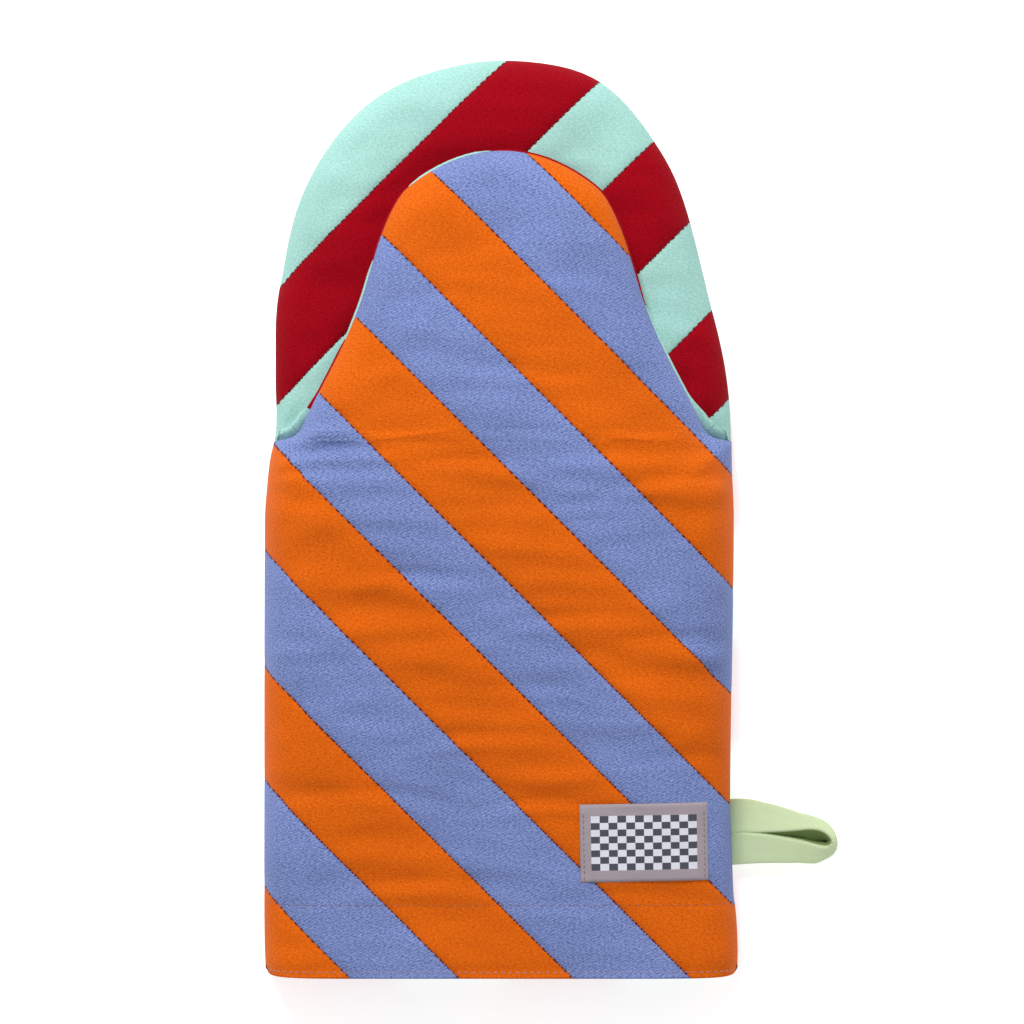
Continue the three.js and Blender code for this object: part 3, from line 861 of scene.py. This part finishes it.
for name, panel in PANELS.items():
    p = panel.grid(SPACING)
    if name == "thumb_back":
        p = rolled_rim(panel, p)
    n = panel.normals(p)
    if name == "finger":
        p, n = fold_rows(p, n)
    co, nn, uv, faces, strip = cut_strips(panel, p, n, cloth_lengths(p))
    nn /= np.linalg.norm(nn, axis=1, keepdims=True)
    edge_d = distance(outline_of(name), co[:, 0], co[:, 1])
    lift = relief(name, panel, co[:, 0], co[:, 1], edge_d)
    points = co + nn * lift[:, None]
    across, run = panel.seam_place(co[:, 0], co[:, 1])
    seam_uv = np.stack([across, run], 1)
    for k in range(len(panel.seams) + 1):
        own = [f for f, s in zip(faces, strip) if s == k]
        if not own:
            continue
        used, own = compact(own)
        colour = COLOURS[name][k % 2]
        layers = {"weave": uv[used], "seam": seam_uv[used]}
        obj = new_object(f"{name}_piece_{k + 1:02d}", points[used], own, shell[colour], layers)
        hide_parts(*NODES[name][k])
        move_with(obj, name, points[used][:, 1].max())


# ------------------------------------------------------------------ wadding and lining
# How far the layers are drawn in from the edge of their panel.
INSETS = {"front": 0.8, "finger": 0.8, "thumb_back": 5.0, "back": 0.8}
LAYER_CLEAR = 4.0  # least distance of the thumb's inner layers from its outline and its front
WADDING_SPACING, LINING_SPACING = 4.0, 2.6


def keep_inside(name, verts):
    """Holds the thumb's inner layers clear of its edge, or they would show through the crotch corners."""
    if name == "thumb_back":
        verts[..., 1] = np.minimum(verts[..., 1], THUMB_TIP_Y - LAYER_CLEAR)
        y = np.maximum(verts[..., 1], FOLD_Y + 2 * LAYER_CLEAR)
        verts[..., 0] = np.clip(verts[..., 0], front_left(y) + LAYER_CLEAR, front_right(y) - LAYER_CLEAR)
        cover = front.height(verts[..., 0], verts[..., 1], np.zeros(y.shape, bool))
        verts[..., 2] = np.minimum(verts[..., 2], cover - LAYER_CLEAR)
    return verts


LAYERS = [
    ("front", front, ["palm", "thumb_front"], CUFF_Y + 1.4),
    ("finger", finger, ["finger_front"], FOLD_Y),
    ("thumb_back", thumb_back, ["thumb_back"], FOLD_Y + 5),
    ("back", back, ["back"], CUFF_Y + 1.4),
]
for name, panel, nodes_of, start in LAYERS:
    verts, faces = slab(panel, WADDING_SPACING, *WADDING_DEPTH, start, name)
    verts = keep_inside(name, verts)
    obj = new_object(f"{name}_wadding_fill", verts, faces, wadding_fleece, {"weave": verts[:, :2]})
    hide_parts(*[f"{n}_wadding" for n in nodes_of])
    move_with(obj, name, verts[:, 1].max())
    p = panel.grid(LINING_SPACING, start, INSETS[name])
    n = panel.normals(p)
    if name == "finger":
        p, n = fold_rows(p, n)
    wave = 0.5 * value_noise(p[..., 0], p[..., 1], 14, 7, 21)
    q = keep_inside(name, offset(p, n, LINING_DEPTH) - n * wave[..., None])
    faces = quads(p.shape[0], p.shape[1], not panel.flip)
    lengths = cloth_lengths(p).reshape(-1, 2)
    obj = new_object(f"{name}_lining_cloth", q.reshape(-1, 3), faces, lining_cloth, {"weave": lengths})
    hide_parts(*[f"{n}_lining" for n in nodes_of])
    move_with(obj, name, q[..., 1].max())


# ------------------------------------------------------------------ hem turned to the inside
# Path of the hem from the edge into the mouth: distance from the edge, depth under the outer cloth.
HEM_PATH = [
    (0.9, 0.0), (0.35, 0.35), (0.05, 1.1), (0, 2.4), (0, 4.6), (0.1, 5.8), (0.6, 6.5),
    (2.5, HEM_INSIDE + 0.1), (8, HEM_INSIDE), (14, HEM_INSIDE), (20, HEM_INSIDE),
    (HEM_DEPTH - 0.6, HEM_INSIDE), (HEM_DEPTH, 6.1),
]


def hem(name, panel, node):
    u = columns(2.0)
    rows = []
    for inward, depth in HEM_PATH:
        line = np.full(len(u), CUFF_Y + max(inward, EDGE_GAP))
        x = mix(panel.left(line), panel.right(line), u)
        edge = np.zeros(len(u), bool)
        edge[[0, -1]] = True
        low = np.stack([x, line, panel.height(x, line, edge)], 1)
        high = np.stack([x, line + 1, panel.height(x, line + 1, edge)], 1)
        n = panel.normals(np.stack([low, high]))[0]
        lift = relief(name, panel, x, line, distance(HAND, x, line)) if depth < 0.5 else np.zeros(len(u))
        q = low + n * lift[:, None] - n * depth
        q[:, 1] = CUFF_Y + inward
        rows.append(q)
    p = np.stack(rows)
    n = panel.normals(p)
    co, _, uv, faces, strip = cut_strips(panel, p, n, cloth_lengths(p))
    across, run = panel.seam_place(co[:, 0], co[:, 1])
    layers = {"weave": uv, "seam": np.stack([across, run], 1)}
    obj = new_object(f"{name}_hem_fold", co, faces, [shell[c] for c in COLOURS[name]], layers)
    obj.data.polygons.foreach_set("material_index", [int(s) % 2 for s in strip])
    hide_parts(node)
    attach(obj, "hand")


hem("front", front, "hem_front")
hem("back", back, "hem_back")


# ------------------------------------------------------------------ stitches
def surface_line(name, panel, xy):
    """Points and normals of the finished cloth along a line of plan points."""
    x, y = xy[:, 0], xy[:, 1]
    edge = np.zeros(len(x), bool)
    z = panel.height(x, y, edge)
    e = 0.2
    zx = (panel.height(x + e, y, edge) - panel.height(x - e, y, edge)) / (2 * e)
    zy = (panel.height(x, y + e, edge) - panel.height(x, y - e, edge)) / (2 * e)
    n = np.stack([-zx, -zy, np.ones(len(x))], 1)
    n /= np.linalg.norm(n, axis=1, keepdims=True)
    n = -n if panel.flip else n
    d = distance(outline_of(name), x, y)
    lift = relief(name, panel, x, y, d)
    return np.stack([x, y, z], 1) + n * lift[:, None], n


def stitch_run(points, normals, pitch, share, phase=0.0):
    """Even stitches along a line: the start, the end and the outward direction of each."""
    step = np.linalg.norm(np.diff(points, axis=0), axis=1)
    at = np.concatenate([[0], step.cumsum()])
    starts = np.arange(phase * pitch, at[-1] - pitch, pitch)
    long = share * pitch

    def pick(run, v):
        return np.stack([np.interp(run, at, v[:, k]) for k in range(3)], 1)

    return pick(starts, points), pick(starts + long, points), pick(starts + long / 2, normals)


# Rings of one stitch: place along it, size, and height above the cloth as shares of the thread's radius.
STITCH_RINGS = [
    (0.0, 0.35, -0.45), (0.14, 0.85, 0.1), (0.5, 1.0, 0.35), (0.86, 0.85, 0.1), (1.0, 0.35, -0.45),
]
STITCH_SIDES = 6


def stitch_mesh(name, runs, radius, material, sink=0.0):
    """All stitches of some runs as one object: short arched threads whose ends dip into the cloth."""
    a, b, n = (np.concatenate([r[k] for r in runs]) for k in range(3))
    along = b - a
    length = np.linalg.norm(along, axis=1, keepdims=True)
    along = along / np.maximum(length, 1e-6)
    n = n - (n * along).sum(1, keepdims=True) * along
    n /= np.maximum(np.linalg.norm(n, axis=1, keepdims=True), 1e-6)
    side = np.cross(along, n)
    points = []
    for t, size, rise in STITCH_RINGS:
        for k in range(STITCH_SIDES):
            angle = k / STITCH_SIDES * 2 * math.pi
            out = (size * math.cos(angle) + rise) * n + size * math.sin(angle) * side
            points.append(a + (b - a) * t + radius * out - n * sink)
    verts = np.stack(points, 1)
    count = verts.shape[1]
    rings = np.arange(count).reshape(-1, STITCH_SIDES)
    local = []
    for low, high in zip(rings[:-1], rings[1:]):
        local += np.stack([low, np.roll(low, -1), np.roll(high, -1), high], 1).tolist()
    local += [rings[0][::-1].tolist(), rings[-1].tolist()]
    faces = [[i + s * count for i in f] for s in range(len(verts)) for f in local]
    return new_object(name, verts.reshape(-1, 3), faces, material)


def seam_stitches(name, panel, low_y):
    """Runs of stitches along the seams of a panel, above low_y."""
    runs = []
    for s in panel.seams:
        t = np.arange(-330, 330, 0.35)
        xy = np.stack([(s + t) / 2, panel.slant * (s - t) / 2], 1)
        keep = (xy[:, 1] > low_y) & (xy[:, 1] < panel.tip - 0.3)
        xy = xy[keep]
        inside = (xy[:, 0] > panel.left(xy[:, 1]) + 0.4) & (xy[:, 0] < panel.right(xy[:, 1]) - 0.4)
        xy = xy[inside]
        if len(xy) > 12:
            points, normals = surface_line(name, panel, xy)
            runs.append(stitch_run(points, normals, SEAM_PITCH, SEAM_SHARE, rng.uniform(0, 0.9)))
    return runs


def row_stitches(name, panel, y, pitch, share, margin=1.5):
    """A run of stitches straight across a panel."""
    x = np.arange(float(panel.left(y)) + margin, float(panel.right(y)) - margin, 0.5)
    points, normals = surface_line(name, panel, np.stack([x, np.full_like(x, y)], 1))
    return stitch_run(points, normals, pitch, share)


THREADS = {
    "front": (RUST, CUFF_Y + 1), "finger": (WINE, FOLD_Y + 1), "thumb_back": (WINE, FOLD_Y + 2),
    "back": (WINE, CUFF_Y + 1),
}
for name, (thread, low) in THREADS.items():
    panel = PANELS[name]
    obj = stitch_mesh(f"{name}_stitches", seam_stitches(name, panel, low), 0.36, thread, 0.14)
    move_with(obj, name, panel.tip)
    if name in ("front", "back"):
        edge_row = [row_stitches(name, panel, LOWER_ROW_Y, 2.6, 0.55)]
        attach(stitch_mesh(f"{name}_edge_stitches", edge_row, 0.2, PALE), "hand")
        hem_row = [row_stitches(name, panel, UPPER_ROW_Y, 3.0, 0.6)]
        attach(stitch_mesh(f"{name}_hem_stitches", hem_row, 0.16, DUSKY, 0.06), "hand")

# ------------------------------------------------------------------ hanging loop
TAPE_WIDTH, TAPE_THICK = 12.0, 0.9


def tape_material(name):
    """Woven herringbone tape. The part turned down into the eye gets a darker green, painted shade for the
    inside of the eye.
    """
    g = Graph(name)
    vector, across, along = g.axes("weave")
    zigzag = g.value("PINGPONG", across, 2.0)
    line = g.value("MULTIPLY_ADD", zigzag, 0.9, along)
    wave = g.value("SINE", g.value("MULTIPLY", line, 2 * math.pi / 0.9))
    speck = g.noise(vector, 2.2, detail=1.0)
    t = g.value("MULTIPLY_ADD", wave, 0.12, speck, clamp=True)
    face = g.mix(t, srgb(184, 206, 150), srgb(214, 230, 192))
    # Painted shade: the same weave in darker green, standing in for the shade inside the loop's eye.
    eye_painted_shade = g.mix(t, srgb(96, 120, 56), srgb(122, 146, 80))
    _, turned, _ = g.axes("turned")
    # Where the tape turns down into the eye, the painted shade takes over from the face colour.
    within = g.value("MULTIPLY_ADD", turned, 1.8, 0.3, clamp=True)
    g.bump(wave, 0.4, 0.0002)
    return g.finish(Base_Color=g.mix(within, face, eye_painted_shade), Roughness=0.85, Sheen_Weight=0.1)


# Fold of the tape round the eye: x, y, width seen from above, height, fall of the outer part in degrees,
# reach of the part turned down into the eye.
LOOP_RIM = [
    (80.5, -112.6, 11.9, 7.3, 0, 0.1), (86, -112.5, 11.9, 6.6, 2, 0.1), (91, -112.4, 11.3, 6.8, 5, 0.4),
    (96, -112.15, 9.9, 7.2, 8, 1.0), (101, -111.85, 8.3, 7.8, 12, 2.2), (106, -111.45, 6.2, 8.2, 16, 3.6),
    (110, -111.1, 4.6, 8.4, 22, 5.2), (114, -111.7, 3.4, 8.5, 32, 5.4), (116.8, -113.5, 2.3, 8.7, 48, 4.4),
    (117.9, -115.4, 1.8, 8.7, 56, 3.2), (117.0, -117.3, 3.3, 8.2, 42, 1.6), (114, -117.4, 6.1, 8.0, 24, 1.0),
    (107, -115.7, 8.0, 7.8, 15, 0.4), (98, -114.1, 9.6, 7.4, 10, 0.3), (92, -113.3, 10.5, 7.0, 8, 0.3),
    (86, -112.8, 11.3, 6.6, 5, 0.1), (80.5, -112.65, 11.8, 7.3, 0, 0.1),
]
FOLD_SOFTNESS = 1.2


def spline(points, count):
    """Catmull-Rom curve through the points, evenly spaced."""
    p = np.array(points, float)
    p = np.concatenate([[2 * p[0] - p[1]], p, [2 * p[-1] - p[-2]]])
    knots = np.concatenate([[0], np.sqrt(np.linalg.norm(np.diff(p[:, :2], axis=0), axis=1)).cumsum()])
    out = []
    for k in range(1, len(p) - 2):
        t = np.linspace(knots[k], knots[k + 1], 30, endpoint=False)[:, None]
        parts = p[k - 1 : k + 3]
        for spans in ([(-1, 0), (0, 1), (1, 2)], [(-1, 1), (0, 2)], [(0, 1)]):
            shares = [(t - knots[k + a]) / (knots[k + b] - knots[k + a]) for a, b in spans]
            parts = [mix(low, high, s) for low, high, s in zip(parts[:-1], parts[1:], shares)]
        out.append(parts[0])
    out = np.concatenate(out + [p[-2:-1]])
    run = np.concatenate([[0], np.linalg.norm(np.diff(out[:, :2], axis=0), axis=1).cumsum()])
    at = np.linspace(0, run[-1], count)
    return np.stack([np.interp(at, run, out[:, i]) for i in range(out.shape[1])], 1)


def tape(name):
    curve = spline(LOOP_RIM, 120)
    path = curve[:, :2]
    run = np.gradient(path, axis=0)
    run /= np.linalg.norm(run, axis=1, keepdims=True)
    normal = np.stack([-run[:, 1], run[:, 0]], 1)
    normal[0], normal[-1] = (0, 1), (0, -1)
    half = TAPE_THICK / 2
    at = np.linspace(0, TAPE_WIDTH, 241)
    picks = np.unique(np.concatenate([np.linspace(0, TAPE_WIDTH, 31), [0.15, TAPE_WIDTH - 0.15]]))
    rounded = half * (1 - 0.5 * np.abs(2 * picks / TAPE_WIDTH - 1) ** 24)
    rows = []
    for (x, y, seen, rim, fall, reach), nrm in zip(curve, normal):
        fall = math.radians(fall)
        turned = max(TAPE_WIDTH - seen / math.cos(fall), 0.1)
        rise = math.acos(min(max(reach / turned, 0), 0.95))
        slope = mix(rise, -fall, smooth((at - turned) / FOLD_SOFTNESS + 0.5))
        step = at[1] - at[0]
        level = np.concatenate([[0], (np.cos(slope[:-1]) * step).cumsum()])
        height = np.concatenate([[0], (np.sin(slope[:-1]) * step).cumsum()])
        level -= np.interp(turned, at, level)
        height += rim - height.max()
        for side in (1, -1):
            order = picks if side == 1 else picks[::-1]
            thick = rounded if side == 1 else rounded[::-1]
            angle = np.interp(order, at, slope)
            out = np.interp(order, at, level) - side * thick * np.sin(angle)
            up = np.interp(order, at, height) + side * thick * np.cos(angle)
            rows.append(np.stack([x + nrm[0] * out, y + nrm[1] * out, np.maximum(up, 0.3)], 1))
    verts = np.concatenate(rows)
    count = 2 * len(picks)
    faces = []
    for j in range(len(path) - 1):
        for i in range(count):
            k = (i + 1) % count
            faces.append([j * count + i, j * count + k, (j + 1) * count + k, (j + 1) * count + i])
    faces += [list(range(count)), list(range(len(verts) - count, len(verts)))[::-1]]
    at = np.concatenate([[0], np.linalg.norm(np.diff(path, axis=0), axis=1).cumsum()])
    ring = np.concatenate([picks, picks[::-1]])
    # Width of tape turned down into the eye at each point, which places the painted shade of the eye.
    turned = np.clip(TAPE_WIDTH - curve[:, 2] / np.cos(np.radians(curve[:, 4])), 0.1, None)
    inside = (turned[:, None] - ring[None, :]).reshape(-1)
    uv = np.stack([np.tile(ring, len(path)), np.repeat(at, count)], 1)
    shade = np.stack([inside, inside], 1)
    obj = new_object(name, verts, faces, tape_material("loop_tape"), {"weave": uv, "turned": shade})
    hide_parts("hanging_loop")
    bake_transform(obj)


tape("loop_of_tape")


# ------------------------------------------------------------------ label
def label_material():
    """Woven label: a plain small check within a plain border."""
    g = Graph("woven_label")
    vector, across, up = g.axes("weave")
    inner_x = g.value("LESS_THAN", g.value("ABSOLUTE", across), 18.6)
    inner_y = g.value("LESS_THAN", g.value("ABSOLUTE", up), 9.6)
    inner = g.value("MULTIPLY", inner_x, inner_y)
    column = g.value("LESS_THAN", g.value("FRACT", g.value("DIVIDE", across, 6.2)), 0.5)
    row = g.value("LESS_THAN", g.value("FRACT", g.value("DIVIDE", up, 4.8)), 0.5)
    check = g.value("ABSOLUTE", g.value("SUBTRACT", column, row))
    rib = g.value("SINE", g.value("MULTIPLY", across, 2 * math.pi / 0.55))
    speck = g.noise(vector, 2.5, detail=1.0)
    pattern = g.mix(check, srgb(58, 60, 74), srgb(222, 222, 232))
    border = g.mix(speck, srgb(138, 128, 134), srgb(176, 162, 170))
    colour = g.mix(inner, border, pattern)
    colour = g.mix(g.value("MULTIPLY_ADD", rib, 0.06, 0.08), colour, srgb(120, 120, 128))
    g.bump(rib, 0.4, 0.0001)
    return g.finish(Base_Color=colour, Roughness=0.7)


LABEL_CENTRE, LABEL_SIZE, LABEL_TILT = (50.2, -114.2), (45.0, 27.5), 1.0


def label_points(u, v, lift):
    c, s = math.cos(math.radians(LABEL_TILT)), math.sin(math.radians(LABEL_TILT))
    x = LABEL_CENTRE[0] + u * c - v * s
    y = LABEL_CENTRE[1] + u * s + v * c
    edge = np.zeros(x.shape, bool)
    d = distance(HAND, x, y)
    calm = relief("front", front, x, y, d)
    z = front.height(x, y, edge) + 0.35 * calm + 0.75
    return np.stack([x, y, z + lift], -1)


def label():
    w, h = LABEL_SIZE
    u, v = np.meshgrid(np.linspace(-w / 2, w / 2, 61), np.linspace(-h / 2, h / 2, 39))
    edge = np.minimum(w / 2 - np.abs(u), h / 2 - np.abs(v))
    top = label_points(u, v, 0.55 * smooth(edge / 0.7) + 0.12 * value_noise(u, v, 9, 9, 31))
    low = label_points(u, v, -0.25)
    faces = closed_faces(*u.shape)
    verts = np.concatenate([top.reshape(-1, 3), low.reshape(-1, 3)])
    uv = np.tile(np.stack([u.ravel(), v.ravel()], 1), (2, 1))
    obj = new_object("label_patch", verts, faces, label_material(), {"weave": uv})
    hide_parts("label")
    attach(obj, "hand")
    runs = []
    for sign in (-1, 1):
        t = np.linspace(-h / 2 + 1, h / 2 - 1, 60)
        line = label_points(np.full_like(t, sign * (w / 2 - 1.3)), t, 0.62)
        runs.append(stitch_run(line, np.tile([0, 0, 1.0], (60, 1)), 2.0, 0.7))
    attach(stitch_mesh("label_stitches", runs, 0.16, GREY), "hand")


label()

# ------------------------------------------------------------------ floor and light
floor_look = Graph("floor").finish(
    Base_Color=(0.95, 0.95, 0.95, 1), Roughness=0.9, Emission_Color=(1, 1, 1, 1), Emission_Strength=0.5
)
bpy.ops.mesh.primitive_plane_add(size=8, location=(0, 0, -0.0002))
floor = bpy.context.object
floor.name = "floor"
floor.data.materials.append(floor_look)

world = bpy.data.worlds.new("world")
scene.world = world
world.use_nodes = True
world.node_tree.nodes["Background"].inputs[0].default_value = (1, 1, 1, 1)
world.node_tree.nodes["Background"].inputs[1].default_value = 0.5


def area_light(name, place, target, size, power):
    data = bpy.data.lights.new(name, "AREA")
    data.shape = "SQUARE"
    data.size = size
    data.energy = power
    obj = bpy.data.objects.new(name, data)
    scene.collection.objects.link(obj)
    obj.location = place
    obj.rotation_euler = (Vector(target) - Vector(place)).to_track_quat("-Z", "Y").to_euler()


area_light("key", (-0.35, 1.22, 1.25), (0, 0, 0), 0.5, 26.5)
area_light("fill", (1.0, -0.9, 1.4), (0, 0, 0), 1.2, 4)

scene.view_settings.view_transform = "Standard"
scene.view_settings.look = "None"
scene.view_settings.exposure = 0.0
